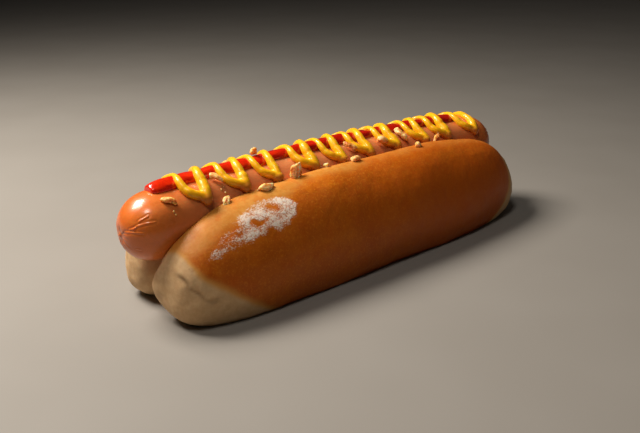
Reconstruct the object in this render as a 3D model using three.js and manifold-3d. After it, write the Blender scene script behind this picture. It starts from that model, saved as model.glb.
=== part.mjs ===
// A hot dog: a frankfurter in a split soft roll, with a band of ketchup, a zigzag of mustard
// and flakes of crisp fried onion. Millimetres, +Z up. X runs along the frankfurter and Y across
// it. The roll stands on z = 0, and the origin is on its underside, below the frankfurter's middle.

import * as THREE from 'three';
import { ParametricGeometry } from 'three/addons/geometries/ParametricGeometry.js';
import { mergeVertices } from 'three/addons/utils/BufferGeometryUtils.js';
import Module from 'manifold-3d';

const wasm = await Module();
wasm.setup();

// ---- Driving dimensions -------------------------------------------------------------------

const GAP = 0.3; // kept between any two pieces that touch

// Frankfurter
const SAUSAGE_LENGTH = 200;
const SAUSAGE_RADIUS = 12.5;
const SAUSAGE_CAP = 14; // length of each rounded end
const SAUSAGE_CAP_POWER = 2.15; // 2 is an ellipse, more is blunter
const SAUSAGE_DIMPLE = 1.3; // depth of the tied pucker in each tip
const SAUSAGE_DIMPLE_RADIUS = 2.2;
const SAUSAGE_HEIGHT = 32.2; // height of the axis where the rounded ends start
const SAUSAGE_RISE = 1.2; // arch of the axis over its length
const SAUSAGE_DROOP = 0.9; // the +X end is this much lower, the -X end higher
const SAUSAGE_OFFSET = 2.8; // the axis lies this far towards the far lobe
const SAUSAGE_BOW = 2.0;
const SAUSAGE_SWAY = 1.1;

// Roll: two lobes joined along the bottom by a hinge
const ROLL_END_POWER = 3.4; // how blunt the ends are, 2 for an ellipse
const NEAR_LOBE_START_POWER = 3.7; // its -X end is squarer seen from above
const ROLL_START_TOP_POWER = 3.15; // the -X ends are rounder above their tips
const ROLL_START_LOW_POWER = 3.5; // and below them
const ROLL_START_HEIGHT = 12.5; // height of the tip of each -X end
const ROLL_END_HEIGHT = 9; // and of each +X end
const LOBE_HALF_HEIGHT = 23.9;
const LOBE_MIDDLE_HEIGHT = 17.5;
const LOBE_LEAN = 0.17; // both lobes lean inwards at the top
const LOBE_INNER_TAPER = 0.6; // the inner face recedes towards the lip
const LOBE_INNER_POWER = 0.8; // 1 is an ellipse, less is flatter
const LOBE_END_SPREAD = 0.9; // the inner faces swell towards each other at the ends
const JUT_SPREAD = 45; // degrees round a lobe over which its -X end juts out beside the slit
const NEAR_LOBE = {
  side: -1,
  middleX: 3,
  halfLength: 95,
  offset: 12.9,
  outer: 17,
  inner: 11.5,
  startPower: NEAR_LOBE_START_POWER,
  jut: 2,
};
const FAR_LOBE = {
  side: 1,
  middleX: 1.5,
  halfLength: 91.5,
  offset: 15.2,
  outer: 14.8,
  inner: 11.5,
  startPower: ROLL_END_POWER,
  jut: 0,
};
const HINGE = { middleX: 1.5, halfLength: 86, offset: 1, halfWidth: 13, halfHeight: 9, height: 2.5 };

// Ketchup
const KETCHUP_START = -88;
const KETCHUP_END = 78;
const KETCHUP_HALF_ANGLE = 22; // degrees each side of the band's middle
const KETCHUP_THICKNESS = 2.5;
const KETCHUP_END_POWER = 7;

// Mustard: degrees are measured round the frankfurter from its top, minus towards the near lobe
const NEAR_BENDS = [-70.5, -52.7, -37, -17.5, -2.2, 13.7, 30.2, 48.6, 63.3, 82.3]; // X of each near turn
const ARM_LEANS = [1.5, 0.8, 0.5, 0, -0.2, -0.6, -0.8, -0.8, -0.3, 2]; // of the arm after it, towards +X
const MUSTARD_NEAR_ANGLE = -51;
const MUSTARD_FAR_ANGLE = 50;
const LEAN_FULL_ANGLE = -24; // where an arm has all of its lean
const LINE_START = -8.5; // the line starts this far from its first near turn
const MUSTARD_RADIUS = 1.65;
const MUSTARD_RADIUS_SWING = 0.12;
const DOWN_ARM_SHARE = 0.9; // the arms that come down to a near turn are thinner
const BEND_RADIUS = 2.15; // the mustard pools in each near turn
const MUSTARD_SINK = 1.1; // how far the round bead is pressed flat against the skin
const MUSTARD_LIFT = 0.65; // share of the ketchup's thickness that the bead rides over
const MUSTARD_FLANK = 10; // degrees beyond the ketchup's edge where that rise starts

// Onion
const ONION_FALL = 6; // height from which the flakes drop onto the rest
const ONION_TOUCH = 0.05; // mm3 of overlap that counts as touching
const FLAKE_NARROWING = 0.4; // share of its width and thickness lost at each end
const FLAKE_FULLNESS = 1.15; // makes up for the corners that a few-sided section cuts off

// Facets: sides round a section, and sections or steps along a piece
const SAUSAGE_SIDES = 24;
const SAUSAGE_CAP_STEPS = 7;
const SAUSAGE_BARREL_STEPS = 8;
const LOBE_FACETS = [28, 26];
const HINGE_FACETS = [14, 14];
const KETCHUP_FACETS = [12, 28];
const BEAD_SIDES = 7;
const ARM_STEPS = 7;
const BALL_FACETS = [6, 4];
const FLAKE_SIDES = 6;
const FLAKE_STEPS = 4;

// ---- Solids -------------------------------------------------------------------------------

// A closed three.js geometry as a manifold solid: shared vertices merged, faces turned outwards.
function toSolid(geometry) {
  const bare = geometry.clone();
  bare.deleteAttribute('normal');
  bare.deleteAttribute('uv');
  const merged = mergeVertices(bare);
  const places = merged.attributes.position;
  const corners = [0, 1, 2].map(() => new THREE.Vector3());
  const triangles = [];
  let volume = 0;
  for (let i = 0; i < merged.index.count; i += 3) {
    const triangle = [0, 1, 2].map((k) => merged.index.getX(i + k));
    if (new Set(triangle).size < 3) continue;
    triangles.push(triangle);
    corners.forEach((corner, k) => corner.fromBufferAttribute(places, triangle[k]));
    volume += corners[0].dot(corners[1].cross(corners[2]));
  }
  if (volume < 0) triangles.forEach((triangle) => triangle.reverse());
  const triVerts = Uint32Array.from(triangles.flat());
  const vertProperties = Float32Array.from(places.array);
  return new wasm.Manifold(new wasm.Mesh({ numProp: 3, vertProperties, triVerts }));
}

function toGeometry(solid) {
  const { vertProperties, triVerts } = solid.getMesh();
  const geometry = new THREE.BufferGeometry();
  geometry.setAttribute('position', new THREE.BufferAttribute(Float32Array.from(vertProperties), 3));
  geometry.setIndex(new THREE.BufferAttribute(Uint32Array.from(triVerts), 1));
  geometry.computeVertexNormals();
  return geometry;
}

function largestPiece(solid) {
  const pieces = solid.decompose();
  return pieces.reduce((best, piece) => (piece.volume() > best.volume() ? piece : best));
}

// A closed skin from place(turn, run): turn goes round each section, run from end to end.
function skin([slices, stacks], place) {
  const surface = (u, v, target) => target.copy(place(u < 1 ? u : 0, v));
  return toSolid(new ParametricGeometry(surface, slices, stacks));
}

// A section of a few sides, wide along its own X.
function roundShape(sides, halfWidth, halfThickness) {
  const corners = [];
  for (let i = 0; i < sides; i += 1) {
    const angle = (2 * Math.PI * i) / sides;
    corners.push(new THREE.Vector2(halfWidth * Math.cos(angle), halfThickness * Math.sin(angle)));
  }
  return new THREE.Shape(corners);
}

// A gentle unevenness along X: how much it rises and falls, and over what length.
const ripple = (x, height, length, phase = 0) => height * Math.sin(x / length + phase);

const signedPower = (value, power) => Math.sign(value) * Math.abs(value) ** power;

// A run from 0 to 1 as a place from -1 to 1, with stations closer together towards the ends.
const stationAlong = (run) => (run > 0 && run < 1 ? Math.sin(Math.PI * (run - 0.5)) : Math.sign(run - 0.5));

// 1 along the middle of a length, falling to 0 at both ends as a superellipse does.
function endTaper(along, power) {
  return Math.max(0, 1 - Math.abs(along) ** power) ** (1 / power);
}

// ---- Frankfurter --------------------------------------------------------------------------

function sausageAxis(x) {
  const t = x / (SAUSAGE_LENGTH / 2 - SAUSAGE_CAP);
  const arch = 1 - t * t;
  const y = SAUSAGE_OFFSET + SAUSAGE_BOW * arch + SAUSAGE_SWAY * t;
  const z = SAUSAGE_HEIGHT + SAUSAGE_RISE * arch - SAUSAGE_DROOP * t;
  return new THREE.Vector3(x, y, z);
}

const outwards = (degrees) => {
  const angle = THREE.MathUtils.degToRad(degrees);
  return new THREE.Vector3(0, Math.sin(angle), Math.cos(angle));
};

// A point round the frankfurter: x along it, degrees from the top, distance from the axis.
function aroundSausage(x, degrees, distance) {
  return sausageAxis(x).addScaledVector(outwards(degrees), distance);
}

function sausageSolid(growth) {
  const radius = SAUSAGE_RADIUS + growth;
  const tip = SAUSAGE_LENGTH / 2 + growth;
  const half = [];
  for (let i = 0; i <= SAUSAGE_CAP_STEPS; i += 1) {
    const angle = (Math.PI / 2) * (i / SAUSAGE_CAP_STEPS);
    const across = i === 0 ? 0 : radius * Math.sin(angle) ** (2 / SAUSAGE_CAP_POWER);
    const back = SAUSAGE_CAP * (1 - Math.max(0, Math.cos(angle)) ** (2 / SAUSAGE_CAP_POWER));
    const dimple = SAUSAGE_DIMPLE * Math.exp(-((across / SAUSAGE_DIMPLE_RADIUS) ** 2));
    half.push(new THREE.Vector2(across, tip - back - dimple));
  }
  const shoulder = tip - SAUSAGE_CAP;
  const barrel = [];
  for (let i = 1; i < SAUSAGE_BARREL_STEPS; i += 1) {
    barrel.push(new THREE.Vector2(radius, shoulder * (1 - (2 * i) / SAUSAGE_BARREL_STEPS)));
  }
  const otherHalf = half.map((point) => new THREE.Vector2(point.x, -point.y)).reverse();
  const lathe = new THREE.LatheGeometry([...half, ...barrel, ...otherHalf], SAUSAGE_SIDES);
  lathe.rotateZ(-Math.PI / 2);
  const places = lathe.attributes.position;
  for (let i = 0; i < places.count; i += 1) {
    const axis = sausageAxis(places.getX(i));
    places.setXYZ(i, axis.x, axis.y + places.getY(i), axis.z + places.getZ(i));
  }
  return toSolid(lathe);
}

// ---- Roll ---------------------------------------------------------------------------------

// Shallow swells that wind round the crust, as a factor on the section's size.
const crustSwell = (x, angle) => 1 + ripple(x, 0.012, 19, 2 * angle) + ripple(x, 0.008, 8.5, 1 - 3 * angle);

// One lobe: outer bulges away from the slit, the flatter inner face recedes towards the lip.
function lobeSolid({ side, middleX, halfLength, offset, outer, inner, startPower, jut }) {
  return skin(LOBE_FACETS, (turn, run) => {
    const along = stationAlong(run);
    const isStart = along < 0;
    const angle = 2 * Math.PI * turn;
    const rise = Math.sin(angle);
    const reach = Math.cos(angle);
    const size = endTaper(along, isStart ? startPower : ROLL_END_POWER);
    const startTall = endTaper(along, rise > 0 ? ROLL_START_TOP_POWER : ROLL_START_LOW_POWER);
    const tall = isStart ? startTall : size;
    const x = middleX + halfLength * along;
    const swell = crustSwell(x, angle);
    const depth = inner * (1 - LOBE_INNER_TAPER * rise) * (1 + LOBE_END_SPREAD * (1 - size));
    const across = reach > 0 ? outer * reach : depth * signedPower(reach, LOBE_INNER_POWER);
    const tip = isStart ? ROLL_START_HEIGHT : ROLL_END_HEIGHT;
    const middle = THREE.MathUtils.lerp(tip, LOBE_MIDDLE_HEIGHT, size);
    const height = LOBE_HALF_HEIGHT * rise * tall * swell;
    const y = side * (offset + across * size * swell - LOBE_LEAN * height);
    const besideSlit = Math.exp(-(((turn - 0.5) * (360 / JUT_SPREAD)) ** 2));
    const out = isStart ? jut * besideSlit * 4 * size * (1 - size) : 0;
    return new THREE.Vector3(x - out, y, middle + height);
  });
}

function hingeSolid({ middleX, halfLength, offset, halfWidth, halfHeight, height }) {
  return skin(HINGE_FACETS, (turn, run) => {
    const along = stationAlong(run);
    const size = endTaper(along, ROLL_END_POWER);
    const angle = 2 * Math.PI * turn;
    const y = offset + halfWidth * size * Math.cos(angle);
    const z = height + halfHeight * size * Math.sin(angle);
    return new THREE.Vector3(middleX + halfLength * along, y, z);
  });
}

// The lobes and the hinge in one, flat underneath, hollowed where the fillings press into it.
function rollSolid(fillings) {
  const below = new THREE.BoxGeometry(300, 120, 40);
  below.translate(0, 0, -20);
  let roll = lobeSolid(NEAR_LOBE).add(lobeSolid(FAR_LOBE)).add(hingeSolid(HINGE));
  roll = roll.subtract(toSolid(below));
  fillings.forEach((filling) => { roll = roll.subtract(filling); });
  return largestPiece(roll);
}

// ---- Ketchup ------------------------------------------------------------------------------

function ketchupTaper(x) {
  const middle = (KETCHUP_START + KETCHUP_END) / 2;
  return endTaper((x - middle) / (KETCHUP_END - middle), KETCHUP_END_POWER);
}

const ketchupMiddle = (x) => ripple(x, 1.6, 17);
const ketchupHalfAngle = (x) => KETCHUP_HALF_ANGLE * (1 + ripple(x, 0.05, 9));
const ketchupThickness = (x) => KETCHUP_THICKNESS * (1 + ripple(x, 0.1, 11, 2));

// The band's section is a low dome. It is drawn a little larger where it cuts the mustard.
function ketchupSolid(growth) {
  const start = KETCHUP_START - growth;
  const end = KETCHUP_END + growth;
  const spread = THREE.MathUtils.radToDeg(growth / SAUSAGE_RADIUS);
  return skin(KETCHUP_FACETS, (turn, run) => {
    const along = stationAlong(run);
    const x = (start + end) / 2 + ((end - start) / 2) * along;
    const size = endTaper(along, KETCHUP_END_POWER);
    const angle = 2 * Math.PI * turn;
    const degrees = ketchupMiddle(x) + (ketchupHalfAngle(x) + spread) * size * Math.cos(angle);
    const dome = Math.max(0, Math.sin(angle)) * size * (ketchupThickness(x) + 2 * growth);
    return aroundSausage(x, degrees, SAUSAGE_RADIUS + GAP - growth + dome);
  });
}

// ---- Mustard ------------------------------------------------------------------------------

// How high the surface under the mustard stands over the frankfurter, without the ketchup's steps.
function bedHeight(x, degrees) {
  const away = (degrees - ketchupMiddle(x)) / (ketchupHalfAngle(x) + MUSTARD_FLANK);
  const lift = MUSTARD_LIFT * ketchupThickness(x) * ketchupTaper(x);
  return GAP + lift * Math.max(0, 1 - away * away);
}

function mustardPoint(x, degrees, radius) {
  const distance = SAUSAGE_RADIUS + bedHeight(x, degrees) + radius - MUSTARD_SINK;
  return aroundSausage(x, degrees, distance);
}

// The line is squeezed out now thicker, now thinner.
const beadRadius = (k) => MUSTARD_RADIUS + MUSTARD_RADIUS_SWING * Math.sin(2.4 * k + 0.6);

// The line drops from the top, hooks along to a near turn and goes nearly straight back over the
// top: [x from that turn, degrees].
const WAY_DOWN = [[-7.5, 30], [-5.6, 12], [-6.2, -2], [-6.8, -16], [-6.3, -28], [-4.7, -39], [0, -51]];
const WAY_BACK = [[0, -51], [0.2, -38], [0.1, -24], [0.5, -11], [1.8, 2], [3, 14], [4.2, 30]];

// A way at its near turn's x, with a lean that grows as it climbs.
function placedWay(way, x, lean) {
  return way.map(([along, degrees]) => {
    const climbed = THREE.MathUtils.smoothstep(degrees, MUSTARD_NEAR_ANGLE, LEAN_FULL_ANGLE);
    return [x + along + lean * climbed, degrees];
  });
}

// The turn on the far side that follows near turn k, halfway between the arms that it joins.
function farTurn(k) {
  const before = NEAR_BENDS[k] + ARM_LEANS[k] + WAY_BACK.at(-1)[0];
  const after = NEAR_BENDS[k + 1] + WAY_DOWN[0][0];
  return [(before + after) / 2, MUSTARD_FAR_ANGLE];
}

// The whole line of mustard, which starts and ends on the far side: the path of each arm, its
// radius and the radius of the turn after it.
function mustardArms() {
  const arms = [];
  NEAR_BENDS.forEach((x, k) => {
    const radius = beadRadius(k);
    const start = k > 0 ? farTurn(k - 1) : [x + LINE_START, MUSTARD_FAR_ANGLE];
    const wayDown = [start, ...placedWay(WAY_DOWN, x, 0)];
    arms.push({ path: wayDown, radius: DOWN_ARM_SHARE * radius, turn: BEND_RADIUS });
    const wayBack = placedWay(WAY_BACK, x, ARM_LEANS[k]);
    if (k + 1 < NEAR_BENDS.length) wayBack.push(farTurn(k));
    arms.push({ path: wayBack, radius, turn: radius });
  });
  return arms;
}

// A round bead along an arm, with a ball on its end that joins it to the next one.
function beadSolid({ path, radius, turn }, growth) {
  const points = path.map(([x, degrees]) => mustardPoint(x, degrees, radius));
  const extrudePath = new THREE.CatmullRomCurve3(points);
  const settings = { steps: ARM_STEPS, extrudePath, bevelEnabled: false };
  const section = roundShape(BEAD_SIDES, radius + growth, radius + growth);
  const bead = toSolid(new THREE.ExtrudeGeometry(section, settings));
  return bead.add(ballSolid(path.at(-1), turn, growth));
}

function ballSolid([x, degrees], radius, growth) {
  const ball = new THREE.SphereGeometry(radius + growth, ...BALL_FACETS);
  ball.translate(...mustardPoint(x, degrees, radius).toArray());
  return toSolid(ball);
}

function mustardSolid(growth) {
  const arms = mustardArms();
  const start = ballSolid(arms[0].path[0], arms[0].radius, growth);
  return arms.reduce((line, arm) => line.add(beadSolid(arm, growth)), start);
}

// ---- Onion --------------------------------------------------------------------------------

// Crisp flakes: where each lies round the frankfurter, how far its middle stands off the skin,
// its length, width and thickness, the bend along it, how it is turned, raised and rolled, and
// how far it is pressed into what it fell on.
const ONIONS = [
  { x: -84.3, at: -36, off: 1.1, size: [6.8, 2.8, 1.8], bend: 70, turn: -28, raise: 0, roll: 0, press: 0.8 },
  { x: -62.8, at: -23, off: 2.2, size: [5.8, 2.0, 1.6], bend: 20, turn: -54, raise: 0, roll: 0, press: 0.6 },
  { x: -63.2, at: -64, off: 1.9, size: [5.0, 3.8, 2.4], bend: 30, turn: 65, raise: 0, roll: 10, press: 1.6 },
  { x: -46.6, at: -62, off: 4.0, size: [8.0, 4.4, 2.4], bend: 50, turn: 10, raise: 0, roll: -10, press: 0.8 },
  { x: -39.6, at: 4, off: 4.2, size: [4.8, 3.2, 1.5], bend: 30, turn: 60, raise: 72, roll: 0, press: 1.2 },
  { x: -30.3, at: -58, off: 3.4, size: [8.5, 7, 1.7], bend: 60, turn: 70, raise: -20, roll: 12, press: 2.6 },
  { x: -13.2, at: -59, off: 2.4, size: [2.8, 2.0, 1.5], bend: 20, turn: 40, raise: 0, roll: 0, press: 0.5 },
  { x: 4.2, at: -31, off: 1.6, size: [8.2, 3.0, 2.2], bend: 45, turn: -44, raise: 0, roll: 0, press: 1.0 },
  { x: 1.3, at: -59, off: 4.3, size: [5.5, 3.0, 2.0], bend: 30, turn: 0, raise: 0, roll: 0, press: 0.6 },
  { x: 22, at: -37, off: 2.6, size: [7.6, 3.6, 2.2], bend: 90, turn: -20, raise: 0, roll: 0, press: 1.4 },
  { x: 35, at: -31, off: 2.0, size: [12.0, 3.1, 2.4], bend: 130, turn: -76, raise: 0, roll: 75, press: 1.0 },
  { x: 37.5, at: -68, off: 4.6, size: [4.2, 2.6, 1.6], bend: 20, turn: -10, raise: 0, roll: 0, press: 0.6 },
  { x: 54.3, at: -57, off: 1.9, size: [7.0, 3.0, 1.7], bend: 30, turn: 36, raise: 0, roll: 10, press: 1.6 },
  { x: -70, at: 52, off: 1.8, size: [6.5, 3.2, 1.8], bend: 60, turn: 30, raise: 0, roll: 0, press: 0.8 },
  { x: -47, at: 56, off: 2.0, size: [7.5, 4.0, 1.8], bend: 50, turn: -50, raise: 0, roll: -15, press: 0.8 },
  { x: -20, at: 33, off: 1.7, size: [6.0, 3.0, 1.8], bend: 40, turn: 15, raise: 0, roll: 0, press: 0.8 },
  { x: 8, at: 60, off: 2.1, size: [8.0, 4.2, 1.8], bend: 70, turn: 65, raise: 0, roll: -10, press: 0.8 },
  { x: 34, at: 56, off: 1.8, size: [6.0, 3.4, 2.0], bend: 30, turn: -20, raise: 0, roll: 0, press: 0.8 },
  { x: 60, at: 58, off: 1.9, size: [7.0, 3.4, 1.8], bend: 60, turn: 40, raise: 0, roll: 0, press: 0.8 },
];

// A strip with narrower ends, bent along its length, lying along X with its middle at the origin.
function flakeGeometry([length, width, thickness], bend, growth) {
  const section = roundShape(FLAKE_SIDES, width / 2 + growth, FLAKE_FULLNESS * (thickness / 2 + growth));
  const run = length + 2 * growth;
  const settings = { depth: run, steps: FLAKE_STEPS, bevelEnabled: false };
  const geometry = new THREE.ExtrudeGeometry(section, settings);
  const arcRadius = length / THREE.MathUtils.degToRad(bend);
  const places = geometry.attributes.position;
  for (let i = 0; i < places.count; i += 1) {
    const along = places.getZ(i) - run / 2;
    const narrowing = 1 - FLAKE_NARROWING * ((2 * along) / run) ** 2;
    const radius = arcRadius + places.getY(i) * narrowing;
    const angle = along / arcRadius;
    const y = places.getX(i) * narrowing;
    places.setXYZ(i, radius * Math.sin(angle), y, radius * Math.cos(angle) - arcRadius);
  }
  return geometry;
}

function flakeSolid({ x, at, off, size, bend, turn, raise, roll }, growth, lift) {
  const normal = outwards(at);
  const along = new THREE.Vector3(1, 0, 0);
  const frame = new THREE.Matrix4().makeBasis(along, normal.clone().cross(along), normal);
  const angles = [roll, raise, turn].map((degrees) => THREE.MathUtils.degToRad(degrees));
  const turned = new THREE.Matrix4().makeRotationFromEuler(new THREE.Euler(...angles, 'ZYX'));
  const geometry = flakeGeometry(size, bend, growth);
  geometry.applyMatrix4(frame.multiply(turned));
  geometry.translate(...aroundSausage(x, at, SAUSAGE_RADIUS + off).toArray());
  geometry.translate(0, 0, lift);
  return toSolid(geometry);
}

// Lets a flake fall until it touches the bed, first in long steps and then in short ones, and
// presses it in. Returns how far it ends above or below where its own numbers put it.
function fallenLift(flake, bed) {
  const isFree = (lift) => bed.intersect(flakeSolid(flake, 0, lift)).volume() < ONION_TOUCH;
  let lift = ONION_FALL;
  for (const step of [2, 0.5, 0.1]) {
    while (lift > -ONION_FALL && isFree(lift - step)) lift -= step;
  }
  return lift - flake.press;
}

// ---- The hot dog --------------------------------------------------------------------------

const crust = new THREE.MeshStandardMaterial({ color: 0xc47a2c, roughness: 0.7, metalness: 0 });
const skinOfSausage = new THREE.MeshStandardMaterial({ color: 0xb0602f, roughness: 0.35, metalness: 0 });
const tomato = new THREE.MeshStandardMaterial({ color: 0xb8140a, roughness: 0.2, metalness: 0 });
const mustardYellow = new THREE.MeshStandardMaterial({ color: 0xe2a312, roughness: 0.35, metalness: 0 });
const friedOnion = new THREE.MeshStandardMaterial({ color: 0xd6a060, roughness: 0.7, metalness: 0 });

const group = new THREE.Group();

function addPiece(name, solid, material) {
  const mesh = new THREE.Mesh(toGeometry(solid), material);
  mesh.name = name;
  group.add(mesh);
}

const sausage = sausageSolid(0);
const sausageHollow = sausageSolid(GAP);
const ketchup = ketchupSolid(0);
const ketchupHollow = ketchupSolid(GAP);
const mustard = largestPiece(mustardSolid(0).subtract(sausageHollow).subtract(ketchupHollow));
const mustardHollow = mustardSolid(GAP);
const lobes = lobeSolid(NEAR_LOBE).add(lobeSolid(FAR_LOBE));
const bed = lobes.add(sausage).add(ketchup).add(mustard);
const lifts = ONIONS.map((flake) => fallenLift(flake, bed));
const onionHollows = ONIONS.map((flake, index) => flakeSolid(flake, GAP, lifts[index]));

addPiece('bun', rollSolid([sausageHollow, mustardHollow, ...onionHollows]), crust);
addPiece('sausage', sausage, skinOfSausage);
addPiece('ketchup', ketchup, tomato);
addPiece('mustard', mustard, mustardYellow);
ONIONS.forEach((flake, index) => {
  const whole = flakeSolid(flake, 0, lifts[index]);
  const cuts = [sausageHollow, ketchupHollow, mustardHollow];
  const seated = largestPiece(cuts.reduce((solid, cut) => solid.subtract(cut), whole));
  addPiece(`onion_${String(index + 1).padStart(2, '0')}`, seated, friedOnion);
});

export default group;
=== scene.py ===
import itertools
import math

import bmesh
import bpy
import numpy as np
from mathutils import Matrix, Vector


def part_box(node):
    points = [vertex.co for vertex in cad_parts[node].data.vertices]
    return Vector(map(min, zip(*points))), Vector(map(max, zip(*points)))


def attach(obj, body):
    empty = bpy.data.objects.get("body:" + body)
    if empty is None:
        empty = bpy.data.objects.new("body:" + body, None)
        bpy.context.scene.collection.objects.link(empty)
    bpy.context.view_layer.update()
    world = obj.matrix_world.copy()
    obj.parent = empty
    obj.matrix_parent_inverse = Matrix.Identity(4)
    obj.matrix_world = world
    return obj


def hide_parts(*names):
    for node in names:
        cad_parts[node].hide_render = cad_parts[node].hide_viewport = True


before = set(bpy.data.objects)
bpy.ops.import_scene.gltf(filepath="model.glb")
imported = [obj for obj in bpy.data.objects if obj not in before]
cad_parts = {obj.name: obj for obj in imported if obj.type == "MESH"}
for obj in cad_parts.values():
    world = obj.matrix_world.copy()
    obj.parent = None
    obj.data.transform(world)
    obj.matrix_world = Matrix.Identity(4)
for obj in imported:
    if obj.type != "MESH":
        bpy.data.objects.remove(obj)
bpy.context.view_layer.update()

MM = 0.001

# ---- Sizes shared with the solids --------------------

# Frankfurter
SAUSAGE_LENGTH = 200
SAUSAGE_RADIUS = 12.5
SAUSAGE_CAP = 14  # length of each rounded end
SAUSAGE_CAP_POWER = 2.15  # 2 is an ellipse, more is blunter
SAUSAGE_SHOULDER = SAUSAGE_LENGTH / 2 - SAUSAGE_CAP
SAUSAGE_HEIGHT = 32.2  # height of the axis where the rounded ends start
SAUSAGE_RISE = 1.2  # arch of the axis over its length
SAUSAGE_DROOP = 0.9  # the +X end is this much lower, the -X end higher
SAUSAGE_OFFSET = 2.8  # the axis lies this far towards the far lobe
SAUSAGE_BOW = 2.0
SAUSAGE_SWAY = 1.1

# Roll
ROLL_END_POWER = 3.4  # how blunt the ends are, 2 for an ellipse
NEAR_LOBE_START_POWER = 3.7  # its -X end is squarer seen from above
ROLL_START_TOP_POWER = 3.15  # the -X ends are rounder above their tips
ROLL_START_LOW_POWER = 3.5  # and below them
ROLL_START_HEIGHT = 12.5  # height of the tip of each -X end
ROLL_END_HEIGHT = 9  # and of each +X end
LOBE_HALF_HEIGHT = 23.9
LOBE_MIDDLE_HEIGHT = 17.5
LOBE_LEAN = 0.17  # both lobes lean inwards at the top
LOBE_INNER_TAPER = 0.6  # the inner face recedes towards the lip
LOBE_INNER_POWER = 0.8  # 1 is an ellipse, less is flatter
LOBE_END_SPREAD = 0.9  # the inner faces swell towards each other at the ends
JUT_SPREAD = 45  # degrees round a lobe over which its -X end juts out beside the slit
NEAR_LOBE = {
    "side": -1, "middle_x": 3, "half_length": 95, "offset": 12.9, "outer": 17, "inner": 11.5,
    "start_power": NEAR_LOBE_START_POWER, "jut": 2,
}
FAR_LOBE = {
    "side": 1, "middle_x": 1.5, "half_length": 91.5, "offset": 15.2, "outer": 14.8, "inner": 11.5,
    "start_power": ROLL_END_POWER, "jut": 0,
}
HINGE = {
    "middle_x": 1.5, "half_length": 86, "offset": 1, "half_width": 13, "half_height": 9, "height": 2.5,
}

# Ketchup
KETCHUP_START = -88
KETCHUP_END = 78
KETCHUP_HALF_ANGLE = 22  # degrees each side of the band's middle
KETCHUP_THICKNESS = 2.5
KETCHUP_END_POWER = 7

# Mustard: places along it are (x, degrees round the frankfurter from its top, minus on the near side)
NEAR_BENDS = [-70.5, -52.7, -37, -17.5, -2.2, 13.7, 30.2, 48.6, 63.3, 82.3]  # X of each near turn
ARM_LEANS = [1.5, 0.8, 0.5, 0, -0.2, -0.6, -0.8, -0.8, -0.3, 2]  # of the arm after it, towards +X
MUSTARD_NEAR_ANGLE = -51
MUSTARD_FAR_ANGLE = 50
LEAN_FULL_ANGLE = -24  # where an arm has all of its lean
LINE_START = -8.5  # the line starts this far from its first near turn
MUSTARD_RADIUS = 1.65
MUSTARD_RADIUS_SWING = 0.12
DOWN_ARM_SHARE = 0.9  # the arms that come down to a near turn are thinner
MUSTARD_LIFT = 0.65  # share of the ketchup's thickness that the bead rides over
MUSTARD_FLANK = 10  # degrees beyond the ketchup's edge where that rise starts
WAY_DOWN = [(-7.5, 30), (-5.6, 12), (-6.2, -2), (-6.8, -16), (-6.3, -28), (-4.7, -39), (0, -51)]
WAY_BACK = [(0, -51), (0.2, -38), (0.1, -24), (0.5, -11), (1.8, 2), (3, 14), (4.2, 30)]

ONIONS = sorted(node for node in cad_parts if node.startswith("onion_"))

# ---- Sizes of the visible pieces alone --------------------

# The tied tips
SAUSAGE_DIMPLE = 0.65
SAUSAGE_DIMPLE_RADIUS = 2.0
TIP_KNOT = 0.6  # height of the little knot of casing in the dimple
TIP_KNOT_RADIUS = 0.75
PUCKER_PLACE = (1.9, -0.8)  # Y and Z from the axis to where each tip is tied
TIP_REACH = 18  # how far back from a tip its folds are worked out
RIDGE_HEIGHT, RIDGE_HALF_WIDTH = 0.16, 0.22
GROOVE_DEPTH, GROOVE_HALF_WIDTH = 0.09, 0.3
GROOVE_AWAY = 0.6  # from the middle of a ridge to the grooves beside it

# The fold across the near lobe's -X end, and the lumps below it
END_REACH = -74  # they start at this X
END_FADE = 6  # and have their full height this much farther out
LIP_HEIGHT, LIP_SPREAD = 0.5, 2.6
CREASE_DEPTH, CREASE_HALF_WIDTH = 0.5, 0.65
LUMP_HEIGHT, LUMP_RADIUS = 0.5, 1.3

# The brown crust starts along CRUST_START and ends at these X, sooner on the lobes' lower halves
NEAR_CRUST_END, FAR_CRUST_END = 92, 88
CRUST_END_TAPER = 18  # how much sooner
FAR_START_SHIFT = 4  # the far lobe's starts this much farther along
LOBE_PARTING = 3  # Y between what belongs to the near lobe and what belongs to the far one
MM_PER_DEGREE = 0.36  # round the near lobe, where the flour lies

# The sauces
MUSTARD_SINK = 0.67  # share of its radius that a bead is pressed into its bed
BED_START = 0.3  # height of the mustard's bed beside the ketchup
BEAD_CAP = 6  # rings in each round end of a bead
SAUSAGE_GAP = 0.1  # left between the frankfurter and the roll
KETCHUP_GAP = 0.05  # between the frankfurter's skin and the ketchup's edge
KETCHUP_SINK = 0.25  # how far its underside lies below its edges
MUSTARD_BITE = 0.12  # how deep the mustard lies in the ketchup

# How finely overlapping skins are melted into one: (size of a face, rounds of smoothing)
ROLL_MELT = (0.75, 8)
MUSTARD_MELT = (0.3, 6)
FLAKE_MELT = (0.18, 1)

CRUMB_COUNT = 26

# ---- Numbers --------------------

NOISE_CELLS = 32


def noise(points, size, seed):
    """Smooth noise from -1 to 1 at each point, with features about `size` mm across."""
    table = np.random.default_rng(seed).uniform(-1, 1, (NOISE_CELLS,) * 3)
    scaled = points / size
    base = np.floor(scaled).astype(int)
    part = scaled - base
    ease = part * part * (3 - 2 * part)
    total = np.zeros(len(points))
    for corner in itertools.product((0, 1), repeat=3):
        weight = np.prod(np.where(corner, ease, 1 - ease), axis=1)
        i, j, k = ((base + corner) % NOISE_CELLS).T
        total += weight * table[i, j, k]
    return total


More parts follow.
